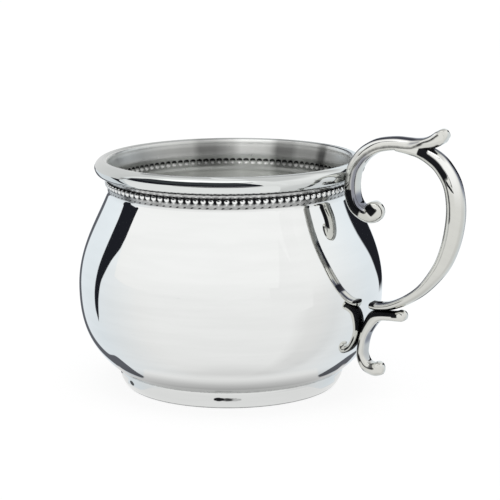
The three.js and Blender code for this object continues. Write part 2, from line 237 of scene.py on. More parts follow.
class Nodes:
    """Short ways to add and join shader nodes. A value may be a constant or another node's socket."""

    def __init__(self, name):
        self.material = bpy.data.materials.new(name)
        self.material.use_nodes = True
        self.tree = self.material.node_tree
        self.tree.nodes.clear()

    def put(self, socket, value):
        if isinstance(value, bpy.types.NodeSocket):
            self.tree.links.new(value, socket)
        else:
            socket.default_value = value

    def add(self, kind, inputs=None, **settings):
        node = self.tree.nodes.new(kind)
        for key, value in settings.items():
            setattr(node, key, value)
        for key, value in (inputs or {}).items():
            self.put(node.inputs[key], value)
        return node

    def math(self, operation, a, b=None, clamp=False):
        node = self.add("ShaderNodeMath", {0: a}, operation=operation, use_clamp=clamp)
        if b is not None:
            self.put(node.inputs[1], b)
        return node.outputs[0]

    def spread(self, value, low, high, to_low=0.0, to_high=1.0):
        """A soft step: to_low where the value is at low, and to_high where it is at high."""
        node = self.add("ShaderNodeMapRange", {0: value, 1: low, 2: high, 3: to_low, 4: to_high})
        node.interpolation_type = "SMOOTHSTEP"
        return node.outputs[0]

    def mix(self, factor, a, b, blend_type="MIX"):
        return self.add("ShaderNodeMix", {0: factor, 6: a, 7: b}, data_type="RGBA", blend_type=blend_type).outputs[2]

    def noise(self, vector, scale, detail, roughness):
        return self.add("ShaderNodeTexNoise", {"Vector": vector, "Scale": scale, "Detail": detail,
                                               "Roughness": roughness}).outputs[0]

    def attribute(self, name):
        return self.add("ShaderNodeAttribute", attribute_name=name).outputs["Fac"]

    def finish(self, surface):
        self.add("ShaderNodeOutputMaterial", {"Surface": surface.outputs[0]})
        return self.material


# Near-black, for tarnish in crevices and for painted shade and reflections
TARNISH_AND_SHADE_COLOUR = (0.012, 0.012, 0.014, 1)
TARNISH_AND_SHADE_STARTS, TARNISH_AND_SHADE_FULL = 0.35, 0.95  # values of the mesh's tarnish and painted shade
TARNISH_AND_SHADE_WEAR = 0.25  # how far the polish marks break up its edge
TARNISH_AND_SHADE_ROUGH = 0.35
SHADES = (  # a casting's painted shade and highlight by tone, and its colour: the last row is its plain look, and a tone of 2, the brightest painted highlight, shows the base colour
    (0, (0.015, 0.015, 0.022, 1)), (0.3, (0.098, 0.105, 0.145, 1)), (0.65, (0.338, 0.345, 0.392, 1)),
    (1.0, (0.75, 0.75, 0.726, 1)),
)
BRIGHTEST_TONE = 2
BLACK, WHITE = (0, 0, 0, 1), (1, 1, 1, 1)
WEAR, HAZE = (900, 4, 0.55), (420, 2, 0.6)  # noise: its scale to the metre, detail and roughness
GROOVES, SATIN_GROOVES = (4200, 2, 0.7), (5200, 2, 0.7)
GROOVE_RING, GROOVE_SLOPE = 0.004, 0.63  # the noise is read along a thin ring, so that its lines run round the axis
GROOVE_STRENGTH, SATIN_GROOVE_STRENGTH = 0.03, 0.35
HAZE_RANGE, HAZE_DIMS = (0.3, 0.7), 0.97
WEAR_RANGE, POLISH_ROUGH = (0.25, 0.75), (0.02, 0.045)
SATIN_SPREAD = 0.1


def around_axis(n):
    """The object's own coordinates, with height, radius and turn round the bowl's axis, in metres and radians."""
    place = n.add("ShaderNodeTexCoord").outputs["Object"]
    split = n.add("ShaderNodeSeparateXYZ", {0: place})
    x = n.math("SUBTRACT", split.outputs[0], AXIS_X * MM)
    y = split.outputs[1]
    radius = n.math("SQRT", n.math("ADD", n.math("MULTIPLY", x, x), n.math("MULTIPLY", y, y)))
    return place, split.outputs[2], radius, n.math("ARCTAN2", y, x)


def silver(name, base, satin=0.0, spin=0.02, casting=False):
    """Silver with polish marks, fine spin lines round the axis, and near-black where the mesh says so: tarnish in
    crevices, and painted shade and reflections elsewhere. It is darker where the mesh's tone is below 1, which is
    painted shade apart from the foot ring's even tone. A casting is bluish there too, and brighter where the tone is
    above 1, which is a painted highlight."""
    n = Nodes(name)
    place, height, radius, turn = around_axis(n)
    worn = n.noise(place, *WEAR)
    lines = n.add("ShaderNodeCombineXYZ", {
        0: n.math("MULTIPLY", n.math("COSINE", turn), GROOVE_RING),
        1: n.math("MULTIPLY", n.math("SINE", turn), GROOVE_RING),
        2: n.math("ADD", height, n.math("MULTIPLY", radius, GROOVE_SLOPE))}).outputs[0]
    grooves = n.noise(lines, *(SATIN_GROOVES if satin else GROOVES))
    haze = n.noise(lines, *HAZE)
    breaks = n.math("MULTIPLY", n.math("SUBTRACT", worn, 0.5), TARNISH_AND_SHADE_WEAR)
    dark = n.spread(n.math("ADD", n.attribute("tarnish"), breaks), TARNISH_AND_SHADE_STARTS, TARNISH_AND_SHADE_FULL)
    tone = n.attribute("tone")
    clean = n.mix(n.spread(haze, *HAZE_RANGE), [c * HAZE_DIMS for c in base[:3]] + [1], base)
    if casting:
        shade = n.add("ShaderNodeValToRGB", {0: n.math("MULTIPLY", tone, 1 / BRIGHTEST_TONE)})
        stops = shade.color_ramp.elements
        stops[0].color, stops[1].color = SHADES[0][1], WHITE
        for level, tint in SHADES[1:]:
            stops.new(level / BRIGHTEST_TONE).color = tint
        toned = n.mix(1.0, clean, shade.outputs[0], "MULTIPLY")
    else:
        toned = n.mix(tone, BLACK, clean)
    gloss = n.spread(worn, *WEAR_RANGE, satin * (1 - SATIN_SPREAD) + POLISH_ROUGH[0],
                     satin * (1 + SATIN_SPREAD) + POLISH_ROUGH[1])
    rough = n.math("ADD", gloss, n.math("MULTIPLY", dark, TARNISH_AND_SHADE_ROUGH), clamp=True)
    bump = n.add("ShaderNodeBump", {"Strength": SATIN_GROOVE_STRENGTH if satin else GROOVE_STRENGTH,
                                    "Distance": spin * MM, "Height": grooves})
    return n.finish(n.add("ShaderNodeBsdfPrincipled", {
        "Base Color": n.mix(dark, toned, TARNISH_AND_SHADE_COLOUR), "Metallic": 1.0, "Roughness": rough,
        "Normal": bump.outputs[0]}))


POLISHED = silver("polished_silver_outside", (0.89, 0.9, 0.89, 1))
SATIN = silver("spun_satin_inside", (0.95, 0.96, 0.94, 1), satin=0.28, spin=0.05)
ROLLED = silver("polished_silver_rim", (0.73, 0.75, 0.74, 1))
# The casting's base colour shows only at its brightest painted highlights.
CAST = silver("cast_silver_bars", (0.973, 0.973, 0.95, 1), casting=True)
OUTSIDE, INSIDE, LIP = 0, 1, 2  # places of the first three in the body's list of materials


def painted_wall_reflections(turn, height):
    """The painted light and dark of the inner wall at a turn in radians: painted reflections in zones that run up
    and down the wall, over painted shade by height.
    """
    level = read_off((np.degrees(turn) + 180) % 360 - 180, WALL_ZONES)
    return level ** read_off(height, ZONE_STRENGTH) * read_off(height, WALL_DIMMING)


def bead_tarnish(level, u, v, phi):
    """Tarnish and painted shade on a bead, at a level from 0 at its foot to 1 at its top, and at u across and v up
    from its middle. It sits on the bead's sides, and there is more of it towards the cup's silhouettes seen from the
    front, which is painted shade and reflection."""
    from_back = abs(math.degrees(phi + math.pi / 2 - VIEW_TURN) % 360 - 180)
    amount = read_off(from_back, BEAD_TARNISH_AND_SHADE) - read_off(from_back, BEAD_CLEARS) * level
    return max(0.0, amount) * (BEAD_LEAST + (1 - BEAD_LEAST) * abs(u) / (abs(u) + abs(v) + 1e-9))


def dimple_tarnish(level, u, v, phi):
    """Painted shade in a dimple: its upper half is darker, as a hollow's is when lit from above."""
    return DIMPLE_LEAST + DIMPLE_MORE * min(1, max(0, v / (DIMPLE_DARK_BY * DIMPLE_R)))


def bead_row(skin, low, high, row, slot, tarnish, tone):
    """A band between two rings of the body, with one bead or dimple to a cell."""
    sphere, outwards = row["sphere"], row["outwards"]
    sunk = sphere - row["stand"]
    widest = math.acos(sunk / sphere)
    turn = 2 * math.pi / BEADS

    def add(r, phi, z, dark):
        return skin.add((r * math.cos(phi), r * math.sin(phi), z), dark, tone(phi))

    def face(*corners):
        skin.face(corners if outwards else corners[::-1], slot)

    heights = [row["low"] + (row["high"] - row["low"]) * i / STEPS_PER_BEAD for i in range(1, STEPS_PER_BEAD)]
    sides = [[add(row["r"], (k - 0.5) * turn, z, row["between"]) for z in heights] for k in range(BEADS)]
    corners = 4 * STEPS_PER_BEAD
    for k in range(BEADS):
        first = (k * STEPS_PER_BEAD - STEPS_PER_BEAD // 2) % COLUMNS
        along = [(first + i) % COLUMNS for i in range(STEPS_PER_BEAD + 1)]
        left, right = sides[k], sides[(k + 1) % BEADS]
        outer = [low[i] for i in along] + right + [high[i] for i in reversed(along)] + left[::-1]
        for s in range(row["rings"], 0, -1):
            polar = widest * s / row["rings"]
            lift = sphere * math.cos(polar) - sunk
            r = row["r"] + lift
            ring = []
            for j in range(corners):
                a = math.radians(-135 + 360 * j / corners)
                u, v = sphere * math.sin(polar) * math.cos(a) * BEAD_NARROW, sphere * math.sin(polar) * math.sin(a)
                phi = k * turn + u / r
                ring.append(add(r, phi, BEAD_Z + v, tarnish(lift / row["stand"], u, v, phi)))
            for j in range(corners):
                after = (j + 1) % corners
                face(outer[j], outer[after], ring[after], ring[j])
                if s == row["rings"]:
                    skin.sharp.append((ring[j], ring[after]))
            outer = ring
        tip = add(row["r"] + row["stand"], k * turn, BEAD_Z, tarnish(1, 0, 0, k * turn))
        for j in range(corners):
            face(outer[j], outer[(j + 1) % corners], tip)


def bowl_side():
    """The bowl's outside from the base to the waist: two curves that meet upright at the belly. The numbers in it
    are parts of each curve's own rise and reach."""
    lower = bezier((BASE_R, BASE_Z), (BASE_R + 0.77 * (BELLY_R - BASE_R), BASE_Z + 0.27 * (BELLY_Z - BASE_Z)),
                   (BELLY_R, BELLY_Z - 0.43 * (BELLY_Z - BASE_Z)), (BELLY_R, BELLY_Z), SIDE_STEPS)
    rise = WAIST_Z - BELLY_Z
    upper = bezier((BELLY_R, BELLY_Z), (BELLY_R, BELLY_Z + 0.41 * rise),
                   (WAIST_R + 0.37 * (BELLY_R - WAIST_R), WAIST_Z - 0.3 * rise), (WAIST_R, WAIST_Z),
                   SIDE_STEPS, True)
    return lower + upper


def cup_body():
    skin = Skin()
    side = bowl_side()
    inside = [p for p in reversed(offset(side, -WALL)) if INSIDE_FROM < p[1] < INSIDE_TO]
    turns = np.arange(COLUMNS) * 2 * math.pi / COLUMNS
    between_beads = np.cos(turns * BEADS) < -0.5

    def rings(path, tarnish=lambda z: 0.0, tone=lambda z: 1.0):
        return [skin.ring(r, z, COLUMNS, tarnish(z), tone(z)) for r, z in path]

    def bridges(rows, slot):
        for a, b in zip(rows, rows[1:]):
            skin.bridge(a, b, slot)

    def crease(z):
        return read_off(z - BASE_Z, BASE_CREASE)

    def shade(z):
        return read_off(z - BASE_Z, BASE_SHADE)

    # the bands below and above the beads are darkened with tarnish and painted shade
    def below_beads(z):
        return np.where(between_beads & (NOTCH_LOW < z < NOTCH_HIGH), NOTCH_TARNISH_AND_SHADE, read_off(z, NECK_TARNISH_AND_SHADE))

    def above_beads(z):
        return read_off(z, SHOULDER_TARNISH_AND_SHADE)

    # painted reflections and shade on the inside
    def inner_tone(z):
        return painted_wall_reflections(turns, z)

    outer = rings(UNDERSIDE, lambda z: UNDERSIDE_TARNISH) + rings(side, crease, shade) + rings(NECK, below_beads)
    above = rings(ABOVE_BEADS, above_beads)
    lip = rings(LIP_EDGE + LIP_INSIDE, tone=inner_tone)
    inner = rings(BELOW_DIMPLES + inside + FLOOR_INSIDE, tone=inner_tone)
    bridges(outer, OUTSIDE)
    bead_row(skin, outer[-1], above[0], BEAD_ROW, OUTSIDE, bead_tarnish, lambda phi: 1.0)
    bridges(above, OUTSIDE)
    skin.bridge(above[-1], lip[0], OUTSIDE)
    bridges(lip[:LIP_ROLLED_ROWS + 1], LIP)
    bridges(lip[LIP_ROLLED_ROWS:], INSIDE)
    bead_row(skin, inner[0], lip[-1], DIMPLE_ROW, INSIDE, dimple_tarnish,
             lambda phi: float(painted_wall_reflections(phi, BEAD_Z)))
    bridges(inner, INSIDE)
    skin.build("cup_body_spun", "cup_body", [POLISHED, SATIN, ROLLED])


def turned(name, node, outline, columns, material, tarnish, tone=1.0):
    """A closed ring from an outline that goes up its outside and down its inside."""
    skin = Skin()
    rows = [skin.ring(r, z, columns, tarnish(r, z), tone) for r, z in outline]
    for a, b in zip(rows, rows[1:] + rows[:1]):
        skin.bridge(a, b)
    skin.build(name, node, [material])


def rim_wire():
    turned("rim_wire_roll", "rim_wire", through(RIM_ROLL, OUTLINE_STEPS) + RIM_BACK, RIM_COLUMNS, ROLLED,
           lambda r, z: 1.0 if z < RIM_SEAM_Z and r < RIM_SEAM_R else 0.0)


def foot_ring():
    turns = np.degrees(np.arange(FOOT_COLUMNS) * 2 * math.pi / FOOT_COLUMNS)

    # painted shade along the foot's edges, and the dark spots
    def tarnish(r, z):
        spots = [read_off(z, FOOT_EDGES) * np.ones(FOOT_COLUMNS)]
        for turn, wide, height, tall, amount in FOOT_SPOTS:
            away = ((turns - turn) / wide) ** 2 + ((z - height) / tall) ** 2
            spots.append(np.clip(SPOT_PEAK - SPOT_FALL * away, 0, amount))
        return np.max(spots, axis=0)

    turned("foot_ring_band", "foot_ring", through(FOOT_BAND, OUTLINE_STEPS) + FOOT_BACK, FOOT_COLUMNS, POLISHED,
           tarnish, FOOT_TONE)


# The handle's bars. Each is swept along stations of (out, up, thick, wide) in the handle's leaning plane. The
# places round its section count from 0 at the far crease over the outer ridge at 8 to the near crease at 16,
# then over the near side, the flat inner face (23 to 25) and the far side.
LEAN, LEAN_Z = math.radians(2.0), 36.0  # how far the handle leans, and the height that it leans about
DOME_STEPS, FLAT_STEPS = 16, 4
SECTION_PLACES = 32
FAR_CREASE, NEAR_CREASE = 0, DOME_STEPS
CREASE_LEVEL, DRAW_IN = -0.33, 0.25  # of half the thickness, and of half the width
STATION_STEPS = 6
CAP_RINGS = 6
CAP_TIP_PLACE = 12

UPPER_SCROLL = [
    (41.05, 47.05, 4.9, 4.7), (40.3, 46.35, 4.5, 4.7), (39.1, 46.05, 3.8, 4.6), (37.35, 46.72, 3.6, 4.6),
    (35.9, 48.0, 3.6, 4.6), (35.0, 50.1, 3.55, 4.6), (34.80, 52.44, 3.4, 4.6), (35.0, 54.8, 3.4, 4.6),
    (35.8, 57.5, 3.4, 4.6), (37.85, 60.33, 3.4, 4.6), (40.1, 62.05, 3.35, 4.6), (42.8, 63.3, 3.26, 4.6),
    (46.87, 63.99, 3.13, 4.6), (50.37, 63.9, 3.2, 4.6), (52.67, 64.16, 2.7, 4.6), (54.67, 64.55, 2.6, 4.3),
    (56.7, 65.15, 3.15, 4.2), (58.25, 66.15, 3.3, 4.0), (58.95, 66.75, 2.8, 3.6),
]
C_SCROLL = [
    (47.5, 63.35, 2.4, 4.3), (50.4, 63.1, 2.8, 4.6), (53.6, 62.65, 3.4, 4.8), (56.6, 61.3, 3.75, 5.0),
    (59.1, 59.25, 3.85, 5.1), (61.5, 55.4, 3.95, 5.2), (62.4, 50.3, 4.12, 5.2), (62.05, 45.2, 4.15, 5.2),
    (60.75, 40.0, 3.95, 5.2), (58.5, 35.15, 3.5, 5.1), (54.3, 29.95, 2.7, 4.8), (49.85, 26.6, 2.35, 4.5),
    (45.35, 24.45, 2.1, 4.2), (42.0, 23.8, 1.95, 3.95), (40.1, 23.85, 1.85, 3.8),
]
LOWER_BRACKET = [
    (48.0, 22.35, 2.8, 3.5), (46.6, 22.1, 2.4, 3.6), (44.99, 22.0, 2.23, 3.8), (42.6, 21.8, 2.4, 4.2),
    (40.65, 21.05, 3.2, 4.4), (39.1, 18.85, 2.75, 4.5), (38.0, 16.45, 2.25, 4.6), (37.25, 13.35, 2.12, 4.6),
    (37.1, 10.9, 2.42, 4.2), (38.25, 8.6, 2.9, 3.7), (40.3, 7.8, 3.2, 3.5), (41.6, 8.15, 3.4, 3.5),
]
PLAIN_CREASES = ((0, CREASE_LEVEL),)  # by station
UPPER_CREASES = ((13.5, CREASE_LEVEL), (15.0, 0.3), (18.0, 0.35))

# Marks are patches of near-black, which is tarnish in the creases and painted shade and reflections on the flanks,
# or of painted cool shade where the amount is below zero, and gleams are painted highlights, patches of brighter
# colour. Each is (first and last station, first and last place, amount, softness along, softness round).
UPPER_MARKS = [
    (8.5, 14.6, 15.4, 17.0, 0.72, 1.0, 1.0), (3.0, 8.5, 15.4, 16.6, 0.76, 1.0, 0.8),
    (8.8, 13.8, 3.0, 11.0, -0.84, 1.2, 1.2), (13.4, 16.4, 5.0, 13.0, -0.78, 0.5, 1.5),
    (3.0, 4.8, 19.0, 26.0, -0.5, 1.2, 3.0), (4.8, 9.0, 17.6, 20.5, -0.42, 1.5, 1.2),
    (1.2, 7.5, 0.0, 9.5, 0.68, 1.0, 1.5), (5.4, 8.6, 9.0, 12.5, 0.6, 1.0, 1.5),
    (3.0, 5.7, 13.2, 17.0, 1.1, 0.5, 0.8), (6.15, 7.45, 10.0, 14.4, 0.7, 0.15, 0.6),
    (14.4, 17.6, 15.3, 16.5, 0.95, 0.5, 0.7), (14.9, 16.4, 19.5, 23.0, 1.1, 0.4, 1.0),
    (-0.3, 0.6, 13.5, 19.0, 1.1, 0.15, 0.6),
]
UPPER_PAINTED_HIGHLIGHTS = [(8.6, 15.2, 11.7, 12.7, 0.9, 1.0, 0.7), (15.0, 17.2, 12.6, 14.6, 0.9, 0.6, 0.6)]
C_MARKS = [
    (2.0, 2.45, 9.0, 16.0, 1.1, 0.2, 1.2), (2.2, 4.5, 13.4, 15.8, 1.15, 0.4, 0.7),
    (2.4, 3.6, 12.6, 13.2, -0.3, 0.6, 1.0), (2.4, 4.8, 4.8, 9.0, -0.86, 1.2, 1.6),
    (4.8, 9.0, 4.8, 6.6, -0.6, 1.0, 1.2), (9.6, 12.8, 19.5, 22.0, -0.72, 0.6, 1.0),
    (4.4, 6.6, 15.6, 16.3, 0.95, 0.6, 0.6), (6.6, 10.0, 15.5, 16.3, 0.62, 0.8, 0.7),
    (1.5, 7.4, 17.8, 31.0, 0.7, 1.0, 1.2), (5.0, 7.5, 25.0, 31.0, -0.93, 0.5, 1.5),
    (7.5, 10.1, 28.0, 31.5, 0.74, 0.3, 1.0), (7.5, 10.1, 23.4, 24.4, 0.85, 0.3, 0.6),
    (10.0, 10.8, 18.5, 31.0, -0.97, 0.25, 0.8), (10.9, 13.4, 27.0, 31.5, -0.8, 0.3, 1.5),
    (13.4, 15.0, 17.0, 31.0, 1.0, 0.3, 1.0), (11.4, 13.8, 15.6, 16.6, 0.9, 0.8, 0.6),
    (11.6, 14.0, 4.0, 10.4, 1.2, 0.7, 0.8),
]
C_PAINTED_HIGHLIGHTS = [(2.7, 4.5, 9.4, 13.2, 0.95, 1.8, 0.8)]
BRACKET_MARKS = [
    (0.9, 5.6, 1.6, 12.0, 1.2, 0.3, 0.8), (4.3, 9.2, 4.4, 12.0, 1.15, 0.5, 1.0),
    (6.4, 8.4, 0.9, 2.4, 0.9, 0.2, 0.5), (0.5, 1.3, 0.6, 3.0, 0.95, 0.3, 0.6),
    (7.8, 10.6, 31.4, 32.6, 0.95, 0.5, 0.6), (9.6, 10.5, 26.0, 31.0, 0.8, 0.3, 2.0),
    (4.5, 6.2, 22.0, 25.0, -0.55, 0.8, 2.0), (6.2, 9.0, 22.0, 25.0, -0.14, 0.8, 2.0),
]


def section(thick, wide, crease):
    """A bar's outline: a dome over the outer side, a crease at the widest place and a flatter inner face. The
    numbers in it are parts of half the thickness and half the width."""
    t, w = thick / 2, wide / 2
    level = crease * t
    dome = [(level + (t - level) * math.cos(a), w * math.sin(a))
            for a in np.linspace(-math.pi / 2, math.pi / 2, DOME_STEPS + 1)]
    inner = w * (1 - DRAW_IN)
    side = through([(level, w), (level - 0.55 * (t + level), 0.5 * (w + inner) + 0.04 * w),
                    (-t + 0.12 * t, inner + 0.02 * w), (-t, inner - 0.14 * w)], 2)[1:]
    flat = [(-t - 0.03 * t * (1 - (b / inner) ** 2), b)
            for b in np.linspace(inner * 0.7, -inner * 0.7, FLAT_STEPS + 1)]
    return dome + side + flat[1:-1] + [(a, -b) for a, b in reversed(side)]


def soft_step(value, low, high, soft):
    """1 between low and high, falling to 0 over soft on either side."""
    rise = np.clip((value - low) / soft + 1, 0, 1) * np.clip((high - value) / soft + 1, 0, 1)
    return rise * rise * (3 - 2 * rise)


def strength(mark, station, place):
    """How much of a mark there is. Its places count on past the last one to the first."""
    s0, s1, p0, p1, amount, soft_s, soft_p = mark
    round_it = max(soft_step(place + lap, p0, p1, soft_p) for lap in (-SECTION_PLACES, 0, SECTION_PLACES))
    return amount * round_it * soft_step(station, s0, s1, soft_s)


def leaning(out, up, across):
    """A point of the handle's leaning plane, so far out and up in it and so far across it."""
    up = up - LEAN_Z
    return (out, across * math.cos(LEAN) - up * math.sin(LEAN),
            LEAN_Z + up * math.cos(LEAN) + across * math.sin(LEAN))


def bar(name, node, stations, caps, marks, painted_highlights=(), dome_side=1, creases=PLAIN_CREASES):
    """A cast bar. Caps say how far its two ends are rounded, as a part of half its thickness."""
    rows = np.array(through(stations, STATION_STEPS))
    centre, thick, wide = rows[:, :2], rows[:, 2], rows[:, 3]
    along = np.gradient(centre, axis=0)
    along /= np.linalg.norm(along, axis=1)[:, None]
    outward = np.stack([-along[:, 1], along[:, 0]], 1) * dome_side
    levels = read_off(np.arange(len(rows)) / STATION_STEPS, creases)
    skin = Skin()

    def add(point, station, place):
        # positive marks give tarnish and painted shade, negative marks painted shade in the tone, and gleams painted
        # highlights above a tone of 1
        amounts = [0] + [strength(mark, station, place) for mark in marks]
        highlight = max([0] + [strength(mark, station, place) for mark in painted_highlights])
        return skin.add(point, float(max(amounts)), float(1 + min(amounts) + highlight))

    def loop(i, shrink=1, slide=0, beyond=0.0):
        """The section at a row, drawn in and slid along for a cap. A cap's marks lie beyond its end station."""
        ring = []
        for k, (a, b) in enumerate(section(thick[i], wide[i], levels[i])):
            p = centre[i] + along[i] * slide + outward[i] * a * shrink
            ring.append(add(leaning(*p, -b * shrink * dome_side), i / STATION_STEPS + beyond, k))
        return ring

    def cap(i, side, reach):
        out = []
        for s in range(1, CAP_RINGS + 1):
            a = math.pi / 2 * s / (CAP_RINGS + 1)
            out.append(loop(i, math.cos(a), side * reach * thick[i] / 2 * math.sin(a), side * s / (CAP_RINGS + 1)))
        p = centre[i] + along[i] * side * reach * thick[i] / 2
        return out + [[add(leaning(*p, 0), i / STATION_STEPS + side, CAP_TIP_PLACE)]]

    loops = cap(0, -1, caps[0])[::-1] + [loop(i) for i in range(len(rows))] + cap(len(rows) - 1, 1, caps[1])
    for a, b in zip(loops, loops[1:]):
        skin.bridge(a, b)
        if len(a) > 1 and len(b) > 1:
            skin.sharp += [(a[c], b[c]) for c in (FAR_CREASE, NEAR_CREASE)]
    skin.build(name, node, [CAST])


def handle():
    bar("handle_upper_scroll_cast", "handle_upper_scroll", UPPER_SCROLL, (1.0, 1.0), UPPER_MARKS, UPPER_PAINTED_HIGHLIGHTS,
        creases=UPPER_CREASES)
    bar("handle_c_scroll_cast", "handle_c_scroll", C_SCROLL, (0.6, 0.6), C_MARKS, C_PAINTED_HIGHLIGHTS)
    bar("handle_lower_bracket_cast", "handle_lower_bracket", LOWER_BRACKET, (1.0, 1.0), BRACKET_MARKS,
        dome_side=-1)


# The studio. Apart from the floor, only the metal sees it. Heights (el) and turns (az) are in degrees from the
# cup. Az 0 is towards the camera, and it grows to the picture's right. The camera's frame is in mm, with its origin
# under the bowl's axis, x to the picture's right and y away from the camera.
CAMERA_TARGET, CAMERA_DISTANCE = (4.86, 0, 33.25), 452.32
CAMERA_RISE, CAMERA_ROLL = math.radians(11.86), math.radians(0.39)
FOCAL_PX, PICTURE_PX, SENSOR_MM = 1804.67, 500, 36
CLIP_NEAR, CLIP_FAR = 0.01, 20
FLOOR_GREY, FLOOR_GLOW, FLOOR_HALF = 0.2, 0.83, 3.0
DOME_Z = 0.028
TENT_RADIUS, FLAG_RADIUS = 2.0, 1.6
TENT_STEP = 3.0
FLAG_ROWS_PER_SPAN, FLAG_COLUMNS = 6, 13
NEAR_PLANE_AZ, NEAR_PLANE_MM = math.radians(-110.0), 80.0
NIGHT, DUSK, CEILING = (0.014, 0.015, 0.02), (0.115, 0.12, 0.137), (0.045, 0.05, 0.055)
MOUTH_CARD = (0.85, 0.85, 0.84)

NECK_SHEET_Z, NECK_SHEET_R = 49.6, 31.2
NECK_SHEET_AZ = np.radians(np.arange(-46, 24, 5.75))
NECK_SHEET_EDGE = [(-214, 0), (-330, -60), (-330, -250), (-260, -400), (-60, -400), (160, -400), (260, -400)]
NECK_SHEET_STEPS = np.array([0, 0.05, 0.15, 0.3, 0.5, 0.75, 1.0])  # from the neck to the edge
DARK_TOP = [(-11, -51), (7, -51), (29, -78), (66, -156), (130, -390), (-300, -390), (-224, -207), (-49, -66)]
DARK_TOP_GAP = 0.1
FRONT_CARD = ((0, 50, 0.9), (50, 50, 0.925), (80, 47, 0.95), (110, 42, 0.965), (150, 30, 0.97), (200, 10, 0.97))
FRONT_CARD_Y, FRONT_CARD_RIGHT, FRONT_CARD_COLUMNS = -108, 170, 9
FOOT_SHEET_Z, FOOT_SHEET_R = 0.2, 26.75
FOOT_SHEET_REACH = ((50, 36), (56, 28.9), (75, 28.9), (79, 33), (93, 33), (100, 28.9))  # by turn from the front
FOOT_SHEET_LIGHT = ((110, 0.86), (135, 0.78), (150, 0.6), (180, 0.5))
LEFT_CARD_R, LEFT_CARD_HEIGHTS = 38, (54.5, 62, 74, 90)
LEFT_CARD_LIGHT = ((-168, 0.7), (-120, 0.78), (-70, 0.78), (-54, 0.7))


def stage(obj, glossy_only=True):
    """Hides a piece of the studio from all but the metal. With glossy_only off, it leaves the piece as it is."""
    if glossy_only:
        obj.visible_camera = obj.visible_diffuse = obj.visible_shadow = obj.visible_transmission = False


def plain_emission(name, shade):
    n = Nodes(name)
    return n.finish(n.add("ShaderNodeEmission", {"Color": (*shade, 1), "Strength": 1.0}))


def sheet(name, grid, shades, solid=None):
    """A glowing sheet through a grid of points in metres, with a level or a colour, and a solidity, at each."""
    rows, columns = grid.shape[:2]
    if shades.ndim == 2:
        shades = np.dstack([shades] * 3)
    if solid is None:
        solid = np.ones((rows, columns))
    faces = [(i * columns + j, i * columns + j + 1, (i + 1) * columns + j + 1, (i + 1) * columns + j)
             for i in range(rows - 1) for j in range(columns - 1)]
    mesh = bpy.data.meshes.new(name)
    mesh.from_pydata(grid.reshape(-1, 3).tolist(), [], faces)
    mesh.attributes.new("tint", "FLOAT_COLOR", "POINT").data.foreach_set("color", np.dstack([shades, solid]).ravel())
    n = Nodes(name)
    tint = n.add("ShaderNodeAttribute", attribute_name="tint")
    glow = n.add("ShaderNodeEmission", {"Color": tint.outputs["Color"], "Strength": 1.0})
    clear = n.add("ShaderNodeBsdfTransparent")
    mesh.materials.append(n.finish(n.add("ShaderNodeMixShader", {
        0: tint.outputs["Alpha"], 1: clear.outputs[0], 2: glow.outputs[0]})))
    stage(add_object(name, mesh))


def to_row(x, y, z):
    """From the camera's frame, in mm, to the row frame, in metres. Takes numbers or arrays."""
    x, y, z = np.broadcast_arrays(x, y, z)
    return np.stack([(x * math.cos(VIEW_TURN) - y * math.sin(VIEW_TURN) + AXIS_X) * MM,
                     (x * math.sin(VIEW_TURN) + y * math.cos(VIEW_TURN)) * MM, z * MM], -1)


def about(turns, radius, z):
    """As to_row, for points at a turn in radians and a radius in mm round the bowl's axis."""
    return to_row(radius * np.sin(turns), -radius * np.cos(turns), z)


def on_dome(el, az, radius):
    """A point at a radius in metres from the cup."""
    el, az = np.radians(el), np.radians(az) + VIEW_TURN
    return np.stack([radius * np.sin(az) * np.cos(el) + AXIS_X * MM, -radius * np.cos(az) * np.cos(el),
                     radius * np.sin(el) + DOME_Z], -1)


def far_away(el, az):
    return on_dome(el, az, FLAG_RADIUS)


def by_the_cup(z, along):
    """A point on an upright plane that stands on the table to the left of the cup. Both are in mm."""
    x = NEAR_PLANE_MM * math.sin(NEAR_PLANE_AZ) + along * math.cos(NEAR_PLANE_AZ)
    y = -NEAR_PLANE_MM * math.cos(NEAR_PLANE_AZ) + along * math.sin(NEAR_PLANE_AZ)
    return to_row(x, y, z)


def flag(name, rows, shade, soft=1.5, place=far_away):
    """A studio flag with soft edges. Rows are (height, left, right), low to high, in the units that place takes."""
    rows = np.array(through(rows, FLAG_ROWS_PER_SPAN))
    rows = np.vstack([rows[0] - (soft, 0, 0), rows, rows[-1] + (soft, 0, 0)])
    heights, left, right = rows[:, :1], rows[:, 1:2], np.maximum(rows[:, 2:], rows[:, 1:2] + 0.1)
    steps = np.linspace(0, 1, FLAG_COLUMNS)
    inner = left + (right - left) * steps + np.interp(steps, (0, 1), (soft / 2, -soft / 2))
    across = np.hstack([left - soft / 2, inner, right + soft / 2])
    solid = np.ones_like(across)
    solid[:, 0] = solid[:, -1] = solid[0] = solid[-1] = 0
    sheet(name, place(np.broadcast_to(heights, across.shape), across), np.ones(across.shape + (3,)) * shade, solid)


